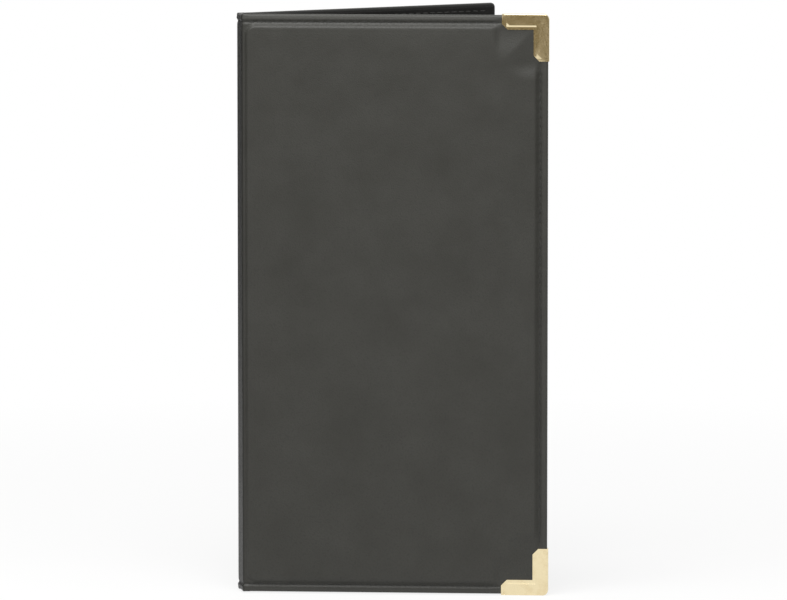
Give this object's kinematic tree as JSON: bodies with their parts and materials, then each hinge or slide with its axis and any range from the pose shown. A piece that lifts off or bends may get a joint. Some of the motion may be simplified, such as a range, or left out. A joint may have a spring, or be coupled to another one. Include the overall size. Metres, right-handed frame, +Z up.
{
  "type": "guest check presenter",
  "caption": "Tall padded leatherette folder for a guest check: stitched covers hinged on a narrow spine, folded brass corners on the front cover and pockets inside.",
  "frame": {"origin": "on the surface the folder stands on, under the middle of its bounding box", "axes": "+Z up, from foot to head; the spine is at -X and the covers open towards +X; the front cover, with the brass corners, is on the -Y side"},
  "size_m": [0.1287, 0.0936, 0.2549],
  "materials": {
    "cover_leatherette": "satin",
    "hinge_leatherette": "satin",
    "lining_leatherette": "matte",
    "pocket_leatherette": "satin",
    "foam": "matte",
    "board": "matte",
    "thread": "satin",
    "brass": "satin"
  },
  "bodies": {
    "spine": {"spine_leatherette": "cover_leatherette", "spine_card": "board", "spine_hinge_strip": "hinge_leatherette", "spine_seam": "thread"},
    "front_cover": {"front_leatherette": "cover_leatherette", "front_padding": "foam", "front_board": "board", "front_hinge_strip": "hinge_leatherette", "front_lining": "lining_leatherette", "front_bill_pocket": "pocket_leatherette", "front_card_pocket": "pocket_leatherette", "front_seam": "thread", "front_pocket_threads": "thread", "head_corner": "brass", "foot_corner": "brass"},
    "back_cover": {"back_leatherette": "cover_leatherette", "back_padding": "foam", "back_board": "board", "back_hinge_strip": "hinge_leatherette", "back_lining": "lining_leatherette", "back_check_pocket": "pocket_leatherette", "back_seam": "thread", "back_pocket_threads": "thread"}
  },
  "joints": [
    {"name": "front_crease", "type": "hinge", "parent": "spine", "child": "front_cover", "pos_m": [-0.06389, -0.00445, 0], "axis": [0, 0, -1], "range_deg": [-18.3, 71.7]},
    {"name": "back_crease", "type": "hinge", "parent": "spine", "child": "back_cover", "pos_m": [-0.06389, 0.00445, 0], "axis": [0, 0, 1], "range_deg": [-18.3, 71.7]}
  ]
}
